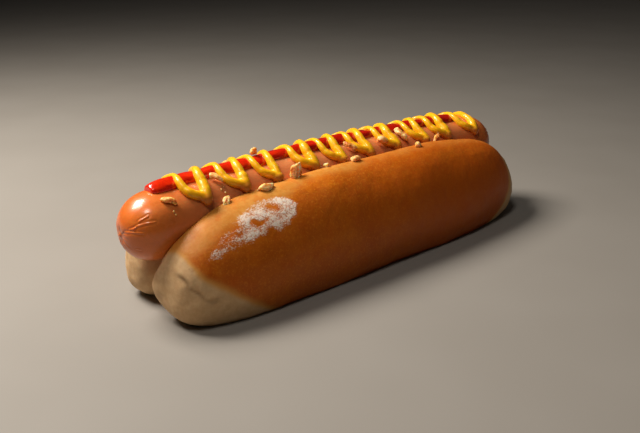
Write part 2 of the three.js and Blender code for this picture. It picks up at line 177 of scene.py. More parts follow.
def fractal(points, size, seed, octaves=3):
    """Noise with finer noise on it, each octave half the size and half the height."""
    layers = [noise(points, size / 2**n, seed + n) / 2**n for n in range(octaves)]
    return sum(layers)


def step(low, high, value):
    """0 below low, 1 above high, smooth in between."""
    t = np.clip((value - low) / (high - low), 0, 1)
    return t * t * (3 - 2 * t)


def bell(away, half_width):
    """1 in the middle, falling softly to 0 on both sides."""
    return np.exp(-((away / half_width) ** 2))


def ripple(x, height, length, phase=0):
    return height * np.sin(x / length + phase)


def end_taper(along, power):
    """1 along the middle of a length, falling to 0 at both ends as a superellipse does."""
    return np.maximum(0, 1 - np.abs(along) ** power) ** (1 / power)


def polar(y, z):
    """Degrees from the top, minus towards the near lobe, and distance."""
    return np.degrees(np.arctan2(y, z)), np.hypot(y, z)


# ---- Meshes --------------------

def new_piece(name, points, faces):
    mesh = bpy.data.meshes.new(name)
    mesh.from_pydata((np.asarray(points) * MM).tolist(), [], faces)
    piece = bpy.data.objects.new(name, mesh)
    bpy.context.scene.collection.objects.link(piece)
    face_outwards(mesh)
    return piece


def face_outwards(mesh):
    work = bmesh.new()
    work.from_mesh(mesh)
    bmesh.ops.recalc_face_normals(work, faces=work.faces)
    work.to_mesh(mesh)
    work.free()
    mesh.polygons.foreach_set("use_smooth", [True] * len(mesh.polygons))


def skin(around, along, place):
    """A closed skin from place(turn, run): rings of points between two single end points."""
    run, turn = np.meshgrid(np.arange(1, along) / along, np.arange(around) / around, indexing="ij")
    rings = place(turn.ravel(), run.ravel())
    ends = place(np.zeros(2), np.array([0.0, 1.0]))
    points = np.vstack([ends[:1], rings, ends[1:]])
    last = len(points) - 1
    faces = []
    for i in range(around):
        j = (i + 1) % around
        faces.append((0, 1 + i, 1 + j))
        faces.append((last, last - around + j, last - around + i))
        for ring in range(along - 2):
            low = 1 + ring * around
            faces.append((low + i, low + around + i, low + around + j, low + j))
    return points, faces


def joined(skins):
    """Several skins as the points and faces of one mesh."""
    points, faces = [], []
    for some_points, some_faces in skins:
        first = sum(len(p) for p in points)
        points.append(some_points)
        faces += [tuple(first + i for i in face) for face in some_faces]
    return np.vstack(points), faces


def fused(piece, voxel, smoothing):
    """Melts what overlaps in a piece into one skin with faces of `voxel` mm, and smooths it."""
    remesh = piece.modifiers.new("fuse", "REMESH")
    remesh.mode = "VOXEL"
    remesh.voxel_size = voxel * MM
    smooth = piece.modifiers.new("smooth", "SMOOTH")
    smooth.factor = 0.5
    smooth.iterations = smoothing
    bpy.context.view_layer.update()
    graph = bpy.context.evaluated_depsgraph_get()
    mesh = bpy.data.meshes.new_from_object(piece.evaluated_get(graph))
    piece.modifiers.clear()
    piece.data = mesh
    face_outwards(mesh)
    return piece


def points_of(piece):
    flat = np.zeros(len(piece.data.vertices) * 3, np.float32)
    piece.data.vertices.foreach_get("co", flat)
    return flat.reshape(-1, 3).astype(float) / MM


def normals_of(piece):
    flat = np.zeros(len(piece.data.vertices) * 3, np.float32)
    piece.data.vertex_normals.foreach_get("vector", flat)
    return flat.reshape(-1, 3).astype(float)


def move_points(piece, points):
    piece.data.vertices.foreach_set("co", (points * MM).astype(np.float32).ravel())
    piece.data.update()


def paint(piece, name, values):
    """Keeps a number for each vertex, which the material reads by its name."""
    layer = piece.data.attributes.new(name, "FLOAT", "POINT")
    layer.data.foreach_set("value", values.astype(np.float32))


# ---- Frankfurter --------------------

def sausage_axis(x):
    """Y and Z of the frankfurter's axis at x."""
    t = x / SAUSAGE_SHOULDER
    arch = 1 - t * t
    y = SAUSAGE_OFFSET + SAUSAGE_BOW * arch + SAUSAGE_SWAY * t
    z = SAUSAGE_HEIGHT + SAUSAGE_RISE * arch - SAUSAGE_DROOP * t
    return y, z


def around_sausage(x, degrees, distance):
    y, z = sausage_axis(x)
    angle = np.radians(degrees)
    return np.stack([x, y + distance * np.sin(angle), z + distance * np.cos(angle)], axis=-1)


def sausage_radius(x):
    into_cap = np.clip((np.abs(x) - SAUSAGE_SHOULDER) / SAUSAGE_CAP, 0, 1)
    return SAUSAGE_RADIUS * (1 - into_cap**SAUSAGE_CAP_POWER) ** (1 / SAUSAGE_CAP_POWER)


def sausage_profile():
    """X and radius from tip to tip, with most stations at the tips."""
    angle = np.linspace(0, math.pi / 2, 84)
    across = SAUSAGE_RADIUS * np.sin(angle) ** (2 / SAUSAGE_CAP_POWER)
    back = SAUSAGE_CAP * (1 - np.maximum(0, np.cos(angle)) ** (2 / SAUSAGE_CAP_POWER))
    cap_x = -SAUSAGE_LENGTH / 2 + back
    barrel_x = np.linspace(-SAUSAGE_SHOULDER, SAUSAGE_SHOULDER, 200)[1:-1]
    x = np.concatenate([cap_x, barrel_x, -cap_x[::-1]])
    radius = np.concatenate([across, np.full(len(barrel_x), SAUSAGE_RADIUS), across[::-1]])
    return x, radius


def from_tip(points, side):
    """Each point's distance along X from the tip on a side, and its Y and Z from the axis."""
    y, z = sausage_axis(points[:, 0])
    back = SAUSAGE_LENGTH / 2 - side * points[:, 0]
    return np.stack([back, points[:, 1] - y, points[:, 2] - z], axis=-1)


def crease_lines(back, degrees, distance, draw, count, reach, width, depth):
    """Depth of `count` creases that run back from a tied tip, each of its own length and width."""
    total = np.zeros(len(back))
    for n in range(count):
        at = 360 / count * (n + draw.uniform(-0.4, 0.4))
        length = draw.uniform(*reach)
        half = draw.uniform(*width)
        bend = draw.uniform(-8, 8) * back / 20 + 2.5 * np.sin(back / draw.uniform(2.5, 5) + 6 * n)
        off = (degrees - at - bend + 180) % 360 - 180
        off_mm = np.radians(off) * distance
        along = step(0.6, 2.8, back) * (1 - step(0.4 * length, length, back))
        total += draw.uniform(*depth) * along * bell(off_mm, half)
    return total


# Thin ridges where the casing is gathered on the near side of a tip: (distance from the tip, Y, Z)
TIP_RIDGES = [
    [(0.2, -2.2, 1.5), (1.2, -5.1, 2.1), (2.3, -7.1, 2.1), (3.7, -8.6, 2.0)],
    [(1.5, -5.3, 2.8), (2.6, -6.5, 4.1), (3.8, -7.7, 4.7), (5.5, -8.9, 5.1), (8.0, -10.2, 5.2)],
    [(3.6, -6.7, 5.7), (4.8, -7.4, 6.4), (6.5, -8.1, 7.2)],
    [(1.0, -4.4, 2.8), (2.2, -6.3, 3.6)],
    [(2.2, -5.8, -4.1), (3.1, -7.1, -4.2)],
]


def away_from_line(points, line):
    """How far each point is from a line through a few places."""
    line = np.array(line)
    t = np.linspace(0, len(line) - 1, 10 * len(line))
    numbers = np.arange(len(line))
    line = np.stack([np.interp(t, numbers, axis) for axis in line.T], axis=-1)
    return np.min(np.linalg.norm(points[:, None] - line[None], axis=2), axis=1)


def tip_relief(places, seed):
    """Height of the folds at a tied tip, and the shade painted into its fine creases, from 0 to 1."""
    across = places[:, 1:] - PUCKER_PLACE
    distance = np.linalg.norm(across, axis=1)
    degrees = np.degrees(np.arctan2(across[:, 0], across[:, 1]))
    back = distance + np.maximum(0, places[:, 0] - 3)
    draw = np.random.default_rng(seed)
    broad = crease_lines(back, degrees, distance, draw, 7, (6, 15), (1.2, 2.0), (0.05, 0.16))
    fine = crease_lines(back, degrees, distance, draw, 26, (3.0, 8.5), (0.25, 0.45), (0.08, 0.22))
    ridges = np.zeros(len(places))
    for line in TIP_RIDGES:
        away = away_from_line(places, line)
        ridges += RIDGE_HEIGHT * bell(away, RIDGE_HALF_WIDTH)
        ridges -= GROOVE_DEPTH * bell(away - GROOVE_AWAY, GROOVE_HALF_WIDTH)
    return ridges - broad - fine, fine / 0.2


def pucker(places):
    """How far the tied middle of a tip is drawn in, less the little knot of casing in it."""
    distance = np.linalg.norm(places[:, 1:] - PUCKER_PLACE, axis=1)
    dimple = SAUSAGE_DIMPLE * bell(distance, SAUSAGE_DIMPLE_RADIUS)
    return dimple - TIP_KNOT * bell(distance, TIP_KNOT_RADIUS)


def frankfurter():
    x, radius = sausage_profile()
    around, along = 250, len(x) - 1

    def place(turn, run):
        station = np.rint(run * along).astype(int)
        return around_sausage(x[station], 360 * turn, radius[station])

    piece = new_piece("frankfurter", *skin(around, along, place))
    points = points_of(piece)
    normals = normals_of(piece)
    uneven = 0.22 * noise(points * [0.6, 1, 1], 16, 21) + 0.05 * noise(points * [0.5, 1, 1], 4, 22)
    moved = points + normals * uneven[:, None]
    fold_shade = np.zeros(len(points))
    for side, seed in ((-1, 4), (1, 9)):
        tip = side * points[:, 0] > SAUSAGE_LENGTH / 2 - TIP_REACH
        places = from_tip(points[tip], side)
        relief, folds = tip_relief(places, seed)
        moved[tip] += normals[tip] * relief[:, None]
        moved[tip, 0] -= side * pucker(places) * step(6, 3, places[:, 0])
        knot = np.linalg.norm(places[:, 1:] - PUCKER_PLACE, axis=1)
        # Painted shade in each tip's fine creases and round its knot.
        fold_shade[tip] = np.clip(folds + 1.2 * bell(knot, 1.5), 0, 1)
    move_points(piece, moved)
    paint(piece, "fold", fold_shade)
    paint(piece, "tip", step(62, 96, np.abs(points[:, 0])))
    return piece


# ---- Roll --------------------

def crust_swell(x, angle):
    return 1 + ripple(x, 0.012, 19, 2 * angle) + ripple(x, 0.008, 8.5, 1 - 3 * angle)


def lobe_size(lobe, x):
    along = np.clip((x - lobe["middle_x"]) / lobe["half_length"], -1, 1)
    power = np.where(along < 0, lobe["start_power"], ROLL_END_POWER)
    return end_taper(along, power)


def lobe_tallness(lobe, x, above):
    """The share of its full height that a lobe has at x, above its middle or below it."""
    along = np.clip((x - lobe["middle_x"]) / lobe["half_length"], -1, 1)
    start = end_taper(along, np.where(above, ROLL_START_TOP_POWER, ROLL_START_LOW_POWER))
    return np.where(along < 0, start, lobe_size(lobe, x))


def lobe_middle(lobe, x):
    tip = np.where(x < lobe["middle_x"], ROLL_START_HEIGHT, ROLL_END_HEIGHT)
    return tip + (LOBE_MIDDLE_HEIGHT - tip) * lobe_size(lobe, x)


def lobe_skin(lobe):
    def place(turn, run):
        along = np.sin(math.pi * (run - 0.5))
        x = lobe["middle_x"] + lobe["half_length"] * along
        size = lobe_size(lobe, x)
        angle = 2 * math.pi * turn
        swell = crust_swell(x, angle)
        rise, reach = np.sin(angle), np.cos(angle)
        depth = lobe["inner"] * (1 - LOBE_INNER_TAPER * rise) * (1 + LOBE_END_SPREAD * (1 - size))
        inner = -depth * np.abs(reach) ** LOBE_INNER_POWER
        across = np.where(reach > 0, lobe["outer"] * reach, inner)
        height = LOBE_HALF_HEIGHT * rise * lobe_tallness(lobe, x, rise > 0) * swell
        y = lobe["side"] * (lobe["offset"] + across * size * swell - LOBE_LEAN * height)
        beside_slit = bell((turn - 0.5) * 360, JUT_SPREAD)
        out = np.where(along < 0, lobe["jut"] * beside_slit * 4 * size * (1 - size), 0)
        return np.stack([x - out, y, lobe_middle(lobe, x) + height], axis=-1)

    return skin(120, 200, place)


def hinge_skin():
    def place(turn, run):
        along = np.sin(math.pi * (run - 0.5))
        size = end_taper(along, ROLL_END_POWER)
        angle = 2 * math.pi * turn
        x = HINGE["middle_x"] + HINGE["half_length"] * along
        y = HINGE["offset"] + HINGE["half_width"] * size * np.cos(angle)
        z = HINGE["height"] + HINGE["half_height"] * size * np.sin(angle)
        return np.stack([x, y, z], axis=-1)

    return skin(60, 100, place)


def girth(points, lobe):
    """Degrees round a lobe: 0 at its outer side, 90 at its top, 180 in the slit."""
    x = points[:, 0]
    height = points[:, 2] - lobe_middle(lobe, x)
    across = lobe["side"] * points[:, 1] - lobe["offset"] + LOBE_LEAN * height
    width = np.where(across > 0, lobe["outer"], lobe["inner"]) * np.maximum(lobe_size(lobe, x), 0.02)
    full_height = LOBE_HALF_HEIGHT * np.maximum(lobe_tallness(lobe, x, height > 0), 0.02)
    return np.degrees(np.arctan2(height / full_height, across / width)) % 360


def signed(degrees):
    return (degrees + 90) % 360 - 90


def spot(x, degrees, place, half_length, half_width, lean):
    """1 in the middle of a soft oval on the near lobe, at (x, degrees), falling to 0 around it."""
    along = x - place[0]
    across = (degrees - place[1]) * MM_PER_DEGREE - lean * along
    return bell(along, half_length) * bell(across, half_width)


# The fold across the near lobe's -X end, and Y and Z of the lumps below it
END_FOLD = [
    (-90.4, -16.2, 21.3), (-89.9, -18.7, 20.7), (-89.3, -20.4, 19.9), (-88.7, -21.5, 18.8),
    (-88.6, -22.3, 17.0), (-87.3, -23.3, 16.1), (-86.0, -24.3, 15.0), (-84.6, -25.0, 12.9),
    (-83.0, -25.5, 12.0), (-80.5, -26.3, 12.2),
]
END_LUMPS = [(-24.6, 11.0), (-25.6, 13.4), (-22.6, 9.4)]


def end_relief(points):
    """Height of the fold and the lumps on the near lobe's -X end, and how much shade is painted along
    its fold.
    """
    height = np.zeros(len(points))
    crease_shade = np.zeros(len(points))
    at_end = (points[:, 0] < END_REACH) & (points[:, 1] < 0)
    places = points[at_end]
    away = away_from_line(places, END_FOLD)
    fold = np.array(END_FOLD)
    above = places[:, 2] - np.interp(-places[:, 1], -fold[:, 1], fold[:, 2])
    length = step(-15.5, -18.5, places[:, 1]) * (0.8 + 0.3 * noise(places, 3.5, 47))
    lip = LIP_HEIGHT * np.tanh(above / 0.5) * bell(away, LIP_SPREAD)
    crease_and_shade = length * bell(away, CREASE_HALF_WIDTH)
    relief = length * lip - CREASE_DEPTH * crease_and_shade
    for lump in END_LUMPS:
        relief += LUMP_HEIGHT * bell(np.linalg.norm(places[:, 1:] - lump, axis=1), LUMP_RADIUS)
    height[at_end] = relief * step(END_REACH, END_REACH - END_FADE, places[:, 0])
    # Painted shade along the crease, under the overhanging fold.
    crease_shade[at_end] = np.clip(crease_and_shade, 0, 1)
    return height, crease_shade


# Where the brown crust starts along the near lobe, by the degrees round it
CRUST_DEGREES = [-90, -47, -31, -22, -13, -3, 6, 15, 23, 32, 44, 58, 75, 110, 135]
CRUST_START = [
    -30, -57, -65, -69.5, -74.5, -78.5, -81.6, -84.4, -85.6, -86.3, -87, -87.4, -87.9, -88.3, -70,
]

# Beside the slit the crust is paler and more golden: from how many degrees up, and how much, at places
# along it
GOLDEN_X = [-80, -60, -42, -28, -8, 8, 30, 60]
GOLDEN_DEGREES = [50, 56, 64, 76, 74, 79, 77, 76]
GOLDEN_SHARE = [0.7, 0.95, 1, 0.85, 0.85, 0.5, 0.45, 0.35]
FAR_GOLDEN_SHARE = 0.3  # and at the least on all of the far lobe


def crust_shares(points):
    """How brown, floury, cut open and golden each point of the roll is, and how much shade is painted
    on it, from 0 to 1.
    """
    near = points[:, 1] < LOBE_PARTING
    degrees = signed(np.where(near, girth(points, NEAR_LOBE), girth(points, FAR_LOBE)))
    x = points[:, 0]
    blotch = fractal(points, 9, 41)
    below = np.clip((25 - degrees) / 72, 0, 1.3) ** 2
    first = np.interp(degrees, CRUST_DEGREES, CRUST_START)
    first = first + np.where(near, 0, FAR_START_SHIFT) + 0.9 * blotch
    last = np.where(near, NEAR_CRUST_END, FAR_CRUST_END) - CRUST_END_TAPER * below + 1.8 * blotch
    soft = 0.35 + 0.65 * step(40, -10, degrees)
    ends = step(-4.5, 5.5, (x - first) / soft) * step(-2.5, 5, last - x)
    low = step(-88, -52, degrees + 5 * blotch)
    crumb = step(104, 118, degrees + 5 * blotch) * step(-86, -70, x)
    brown = ends * low * (1 - crumb)
    lip_start = np.interp(x, GOLDEN_X, GOLDEN_DEGREES)
    golden = step(-9, 7, degrees - lip_start + 5 * blotch) * np.interp(x, GOLDEN_X, GOLDEN_SHARE)
    golden = np.where(near, golden, np.maximum(golden, FAR_GOLDEN_SHARE))
    # Painted shade: darker towards the far end, and on the near lobe's lower side.
    painted_shade = 0.45 * step(-35, 45, x) + 0.3 * near * step(62, 42, degrees)
    drift = 0.9 * noise(points, 3, 45), 3.5 * noise(points, 3, 46)
    return brown, floury_patch(x + drift[0], degrees + drift[1]) * near, crumb, golden, painted_shade


# The floury patch on the near lobe: its lower and upper edge in degrees at a few places along it
PATCH_X = [-84, -82, -76, -68, -60, -52, -46, -42, -39.5, -38]
PATCH_LOW = [29, 27, 28.5, 30, 33, 34, 32, 41, 50, 52]
PATCH_HIGH = [29, 31, 48, 58, 66, 71, 69.5, 63, 54, 52]
NO_PATCH = -60  # stands for both its edges beyond its ends, so that nothing lies between them

# More or less flour in it: (amount, place as x and degrees, half length, half width, lean)
PATCH_SPOTS = [
    (-0.75, (-58, 47), 4.0, 1.1, -0.05),
    (-0.42, (-68.5, 53), 3.6, 1.2, 0.1),
    (-0.34, (-67, 45), 4.5, 0.9, 0.05),
    (-0.34, (-49, 57), 3.4, 1.9, 0),
    (-0.25, (-76, 41), 3.5, 1.2, 0),
    (0.4, (-29.9, 56), 0.9, 0.7, 0),
]


def floury_patch(x, degrees):
    """How thickly flour lies: a wedge that widens to a round end, with bare places in it."""
    from_low = degrees - np.interp(x, PATCH_X, PATCH_LOW, NO_PATCH, NO_PATCH)
    from_high = np.interp(x, PATCH_X, PATCH_HIGH, NO_PATCH, NO_PATCH) - degrees
    inside = np.minimum(from_low, from_high)
    cover = (0.6 + 0.14 * step(-74, -64, x)) * step(-6, 7, inside) * step(-87, -80, x)
    cover += 0.3 * bell(inside - 4, 4) * step(-50, -42, x)
    for amount, *where in PATCH_SPOTS:
        cover += amount * spot(x, degrees, *where)
    return np.clip(cover, 0, 1)


def roll():
    skins = [lobe_skin(NEAR_LOBE), lobe_skin(FAR_LOBE), hinge_skin()]
    piece = fused(new_piece("split_roll", *joined(skins)), *ROLL_MELT)
    points = points_of(piece)
    normals = normals_of(piece)
    brown, flour, crumb, golden, painted_shade = crust_shares(points)
    dents = 0.35 * noise(points, 21, 51) + 0.12 * fractal(points, 7, 52)
    pores = crumb * 0.3 * fractal(points, 2.6, 53)
    ends = (1 - brown) * (1 - crumb) * 0.2 * fractal(points, 5, 54)
    end_height, crease_and_shade = end_relief(points)
    relief = dents + pores + ends + end_height
    points = points + normals * relief[:, None]
    points = pressed_by_sausage(points)
    points[:, 2] = np.maximum(points[:, 2], 0)
    move_points(piece, points)
    paint(piece, "brown", brown)
    paint(piece, "flour", flour)
    paint(piece, "crumb", crumb)
    paint(piece, "golden", golden)
    # Painted shade on the crust: darker towards the far end and on the near lobe's lower side.
    paint(piece, "painted_shade", painted_shade)
    # Painted shade along the crease on the near lobe's end.
    paint(piece, "crease_and_shade", crease_and_shade)
    return piece


def pressed_by_sausage(points):
    """Moves what would be inside the frankfurter out to its skin."""
    y, z = sausage_axis(points[:, 0])
    degrees, distance = polar(points[:, 1] - y, points[:, 2] - z)
    room = sausage_radius(points[:, 0]) + SAUSAGE_GAP
    inside = (np.abs(points[:, 0]) < SAUSAGE_LENGTH / 2) & (distance < room)
    moved = around_sausage(points[:, 0], degrees, room)
    return np.where(inside[:, None], moved, points)


# ---- Ketchup --------------------

def ketchup_taper(x):
    middle = (KETCHUP_START + KETCHUP_END) / 2
    return end_taper((x - middle) / (KETCHUP_END - middle), KETCHUP_END_POWER)


def ketchup_middle(x):
    return ripple(x, 1.6, 17)


def ketchup_half_angle(x):
    return KETCHUP_HALF_ANGLE * (1 + ripple(x, 0.05, 9))


def ketchup_thickness(x):
    return KETCHUP_THICKNESS * (1 + ripple(x, 0.1, 11, 2))


# The uneven near edge of the ketchup: the share of its half angle that it reaches, at places along it
NEAR_EDGE_X = [-80, -73, -68, -56, -50, -43, -33, -26, -17, -8, 2, 12, 25, 40, 55, 90]
NEAR_EDGE_SHARE = [
    1, 0.62, 0.76, 0.68, 0.84, 0.86, 0.56, 0.52, 0.64, 0.8, 0.62, 0.74, 0.64, 0.8, 0.7, 0.85,
]


def ketchup_reach(x, far_side):
    """The half angle of the band on one side of its middle."""
    near = np.interp(x, NEAR_EDGE_X, NEAR_EDGE_SHARE)
    return ketchup_half_angle(x) * np.where(far_side, 1, near)


def ketchup_height(x, degrees):
    """Height of the ketchup over the frankfurter's radius."""
    away = degrees - ketchup_middle(x)
    across = away / (ketchup_reach(x, away > 0) * np.maximum(ketchup_taper(x), 1e-6))
    dome = np.sqrt(np.maximum(0, 1 - across**2))
    return dome * ketchup_thickness(x) * ketchup_taper(x)


def ketchup():
    def place(turn, run):
        along = np.sin(math.pi * (run - 0.5))
        x = (KETCHUP_START + KETCHUP_END) / 2 + (KETCHUP_END - KETCHUP_START) / 2 * along
        size = end_taper(along, KETCHUP_END_POWER)
        angle = 2 * math.pi * turn
        across, upward = np.cos(angle), np.sin(angle)
        where = np.stack([x, 9 * across, 0 * x], axis=-1)
        edge = 1 + 0.09 * noise(where, 4.5, 61) + 0.05 * noise(where, 2, 62)
        degrees = ketchup_middle(x) + ketchup_reach(x, across > 0) * size * across * edge
        lump = 1 + 0.13 * noise(where, 6, 63) + 0.2 * bell(x - KETCHUP_START - 4, 4)
        dome = np.maximum(0, upward) ** 1.05 * size * ketchup_thickness(x) * lump
        sunk = -KETCHUP_SINK * np.maximum(0, -upward)
        return around_sausage(x, degrees, SAUSAGE_RADIUS + KETCHUP_GAP + dome + sunk)

    piece = new_piece("ketchup_band", *skin(56, 620, place))
    # Painted shade: the ketchup is darker towards its far end.
    paint(piece, "far", step(-75, 15, points_of(piece)[:, 0]))
    return piece


# ---- Mustard --------------------

def bed_height(x, degrees):
    """How high the mustard's bed stands over the frankfurter, smoothed over the ketchup's edges."""
    away = degrees - ketchup_middle(x)
    away = away / (ketchup_reach(x, away > 0) + MUSTARD_FLANK)
    lift = MUSTARD_LIFT * ketchup_thickness(x) * ketchup_taper(x)
    return BED_START + lift * np.maximum(0, 1 - away * away)


def bead_radius(k):
    return MUSTARD_RADIUS + MUSTARD_RADIUS_SWING * math.sin(2.4 * k + 0.6)


def placed_way(way, x, lean):
    """A way over the frankfurter at its near bend's x, with a lean that grows as it climbs."""
    places = []
    for along, degrees in way:
        climbed = step(MUSTARD_NEAR_ANGLE, LEAN_FULL_ANGLE, degrees)
        places.append((x + along + lean * climbed, degrees))
    return places


def far_turn(k):
    """The turn on the far side that follows near bend k, halfway between the arms that it joins."""
    before = NEAR_BENDS[k] + ARM_LEANS[k] + WAY_BACK[-1][0]
    after = NEAR_BENDS[k + 1] + WAY_DOWN[0][0]
    return (before + after) / 2, MUSTARD_FAR_ANGLE


def rounded(corners):
    """A smooth line through a few given points, a Catmull-Rom spline."""
    corners = np.array(corners, float)
    t = np.linspace(0, len(corners) - 1, 12 * len(corners))
    i = np.minimum(t.astype(int), len(corners) - 2)
    u = (t - i)[:, None]
    before, here = corners[np.maximum(i - 1, 0)], corners[i]
    there, after = corners[i + 1], corners[np.minimum(i + 2, len(corners) - 1)]
    square = (2 * before - 5 * here + 4 * there - after) * u**2
    cube = (3 * here - before - 3 * there + after) * u**3
    return here + 0.5 * ((there - before) * u + (square + cube))


# Shares of an arm's radius at even steps along it: thin over the top, thick at the near bends
TO_BEND = [0.9, 0.8, 0.78, 0.88, 1.04, 1.14, 1.14]
FROM_BEND = [1.12, 1.16, 1.1, 0.96, 0.88, 0.86, 0.9]
EVEN = [1, 1]


def mustard_arms():
    """(path, radius, shares of it) of each arm of the line, which starts and ends on the far side."""
    arms = []
    for k, x in enumerate(NEAR_BENDS):
        radius = bead_radius(k)
        start = far_turn(k - 1) if k > 0 else (x + LINE_START, MUSTARD_FAR_ANGLE)
        way_down = [start, *placed_way(WAY_DOWN, x, 0)]
        arms.append((rounded(way_down), DOWN_ARM_SHARE * radius, TO_BEND))
        way_back = placed_way(WAY_BACK, x, ARM_LEANS[k])
        if k + 1 < len(NEAR_BENDS):
            way_back.append(far_turn(k))
        arms.append((rounded(way_back), radius, FROM_BEND))
    return arms


def bead_skin(path, radius, shares, seed):
    """A soft round bead along a path of (x, degrees), with round ends."""
    x, degrees = path.T
    reach = np.concatenate([[0], np.cumsum(np.hypot(np.diff(x), np.diff(degrees) * 0.25))])
    spots = np.stack([reach, 0 * reach, 0 * reach], axis=-1)
    sizes = radius * (1 + 0.06 * noise(spots, 3.2, seed) + 0.03 * noise(spots, 1.3, seed + 1))
    sizes = sizes * np.interp(np.linspace(0, 1, len(path)), np.linspace(0, 1, len(shares)), shares)
    lift = bed_height(x, degrees) + sizes * (1 - MUSTARD_SINK)
    line = around_sausage(x, degrees, SAUSAGE_RADIUS + lift)
    forward = np.gradient(line, axis=0)
    forward /= np.linalg.norm(forward, axis=1)[:, None]
    y, z = sausage_axis(x)
    upward = line - np.stack([x, y, z], axis=-1)
    sideways = np.cross(forward, upward)
    sideways /= np.linalg.norm(sideways, axis=1)[:, None]
    upward = np.cross(sideways, forward)
    stations = len(line) - 1
    rings = stations + 2 * BEAD_CAP

    def place(turn, run):
        along = run * rings - BEAD_CAP
        at = np.clip(np.rint(along), 0, stations).astype(int)
        over = np.clip((np.abs(along - stations / 2) - stations / 2) / BEAD_CAP, 0, 1)
        beyond = np.sign(along - stations / 2) * np.sin(over * math.pi / 2)
        across = np.cos(over * math.pi / 2)
        angle = 2 * math.pi * turn
        size = sizes[at]
        ring = np.cos(angle)[:, None] * sideways[at] + np.sin(angle)[:, None] * upward[at]
        return line[at] + (size * across)[:, None] * ring + (size * beyond)[:, None] * forward[at]

    return skin(20, rings, place)


# Where mustard pools round a near bend, as (x, degrees) off the bend, and its radius there
POOLS = [(-1.2, -0.5, 1.7), (-0.2, -2, 1.95), (-0.3, -6, 1.55)]


def pool_skins(k):
    """What pools in near bend k, where the line turns back over itself and hangs down a little."""
    skins = []
    for off_x, off_degrees, radius in POOLS:
        start = np.array([NEAR_BENDS[k] + off_x, MUSTARD_NEAR_ANGLE + off_degrees])
        skins.append(bead_skin(np.array([start, start + (0.4, 0.6)]), radius, EVEN, 300 + k))
    return skins


def mustard():
    skins = [bead_skin(*arm, 71 + 2 * n) for n, arm in enumerate(mustard_arms())]
    for k in range(len(NEAR_BENDS)):
        skins += pool_skins(k)
    piece = fused(new_piece("mustard_line", *joined(skins)), *MUSTARD_MELT)
    points = points_of(piece)
    x = points[:, 0]
    y, z = sausage_axis(x)
    degrees, distance = polar(points[:, 1] - y, points[:, 2] - z)
    bed = sausage_radius(x) + ketchup_height(x, degrees) - MUSTARD_BITE
    points = around_sausage(x, degrees, np.maximum(distance, bed))
    points += normals_of(piece) * (0.04 * fractal(points, 2.4, 91))[:, None]
    move_points(piece, points)
    # Painted shade on the undersides of the near bends, where the mustard hangs down.
    paint(piece, "underside_shade", step(-45.5, -53.5, degrees + 1.5 * noise(points, 2.5, 92)))
    return piece


# ---- Onion --------------------

def lump_skin(centre, radii, seed):
    def place(turn, run):
        lat, lon = math.pi * run, 2 * math.pi * turn
        unit = np.stack([np.sin(lat) * np.cos(lon), np.sin(lat) * np.sin(lon), np.cos(lat)], axis=-1)
        return centre + unit * radii * (1 + 0.25 * noise(unit + seed, 0.9, 11))[:, None]

    return skin(12, 8, place)


# How brown each flake is fried, from 0 to 1, where it isn't FLAKE_BROWN
FLAKE_BROWN = 0.28
BROWNER_FLAKES = {
    "onion_01": 0.85, "onion_02": 0.5, "onion_05": 0.7, "onion_06": 0.45, "onion_08": 0.8,
    "onion_09": 0.6, "onion_10": 0.75, "onion_11": 0.6, "onion_12": 0.7, "onion_13": 0.8,
    "onion_14": 0.5, "onion_17": 0.4, "onion_19": 0.6,
}
FLAKE_SEED, FLAKE_SEED_STEP = 100, 17
FLAKE_BLISTERS = 4
FLAKE_CHIPS = 10


def chipped(points, middle, draw):
    """Flattens a flake against a few planes, where bits of it broke off."""
    for _ in range(FLAKE_CHIPS):
        facing = draw.normal(size=3)
        facing /= np.linalg.norm(facing)
        height = (points - middle) @ facing
        keep = draw.uniform(0.62, 0.9) * height.max()
        points = points - np.maximum(0, height - keep)[:, None] * 0.85 * facing
    return points


def flake(node, seed):
    """A crisp flake: the solid's form, blistered, broken at its edges and ridged along its length."""
    draw = np.random.default_rng(seed)
    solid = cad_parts[node]
    body = points_of(solid)
    faces = [tuple(face.vertices) for face in solid.data.polygons]
    middle = body.mean(axis=0)
    skins = [(body, faces)]
    for index in draw.choice(len(body), FLAKE_BLISTERS, replace=False):
        centre = body[index] + 0.3 * (middle - body[index])
        radii = draw.uniform(0.45, 0.95, 3)
        skins.append(lump_skin(centre, radii, int(draw.integers(1000))))
    piece = fused(new_piece(node.replace("onion", "flake"), *joined(skins)), *FLAKE_MELT)
    points = chipped(points_of(piece), middle, draw)
    move_points(piece, points)
    axes = np.linalg.svd(body - middle, full_matrices=False)[2]
    strip = (points - middle) @ axes.T
    ridges = 0.27 * noise(strip * [0.3, 1, 1], 0.9, seed + 5) + 0.07 * noise(points, 0.45, seed + 6)
    craggy = 0.36 * noise(points, 2.0, seed + 7)
    move_points(piece, points + normals_of(piece) * (ridges + craggy)[:, None])
    fried = BROWNER_FLAKES.get(node, FLAKE_BROWN)
    # Browner in its grooves and hollows, paler on its ridges.
    paint(piece, "brown", np.clip(fried - 1.6 * ridges - 0.8 * craggy, 0, 1))
    return piece


def crumbs():
    """Specks of batter that fell off the flakes, on the frankfurter beside them."""
    draw = np.random.default_rng(7)
    skins = []
    for n in range(CRUMB_COUNT):
        low, high = (np.array(corner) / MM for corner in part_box(ONIONS[n % len(ONIONS)]))
        x = draw.normal((low[0] + high[0]) / 2, 5)
        side = np.sign((low[1] + high[1]) / 2 - sausage_axis(x)[0])
        degrees = side * draw.uniform(27, 66)
        size = draw.uniform(0.15, 0.4)
        centre = around_sausage(x, degrees, SAUSAGE_RADIUS + 0.5 * size)
        skins.append(lump_skin(centre, size * draw.uniform(0.7, 1.3, 3), n))
    piece = new_piece("onion_crumbs", *joined(skins))
    paint(piece, "brown", draw.uniform(0.1, 0.8, len(piece.data.vertices)))
    return piece


# ---- Materials --------------------

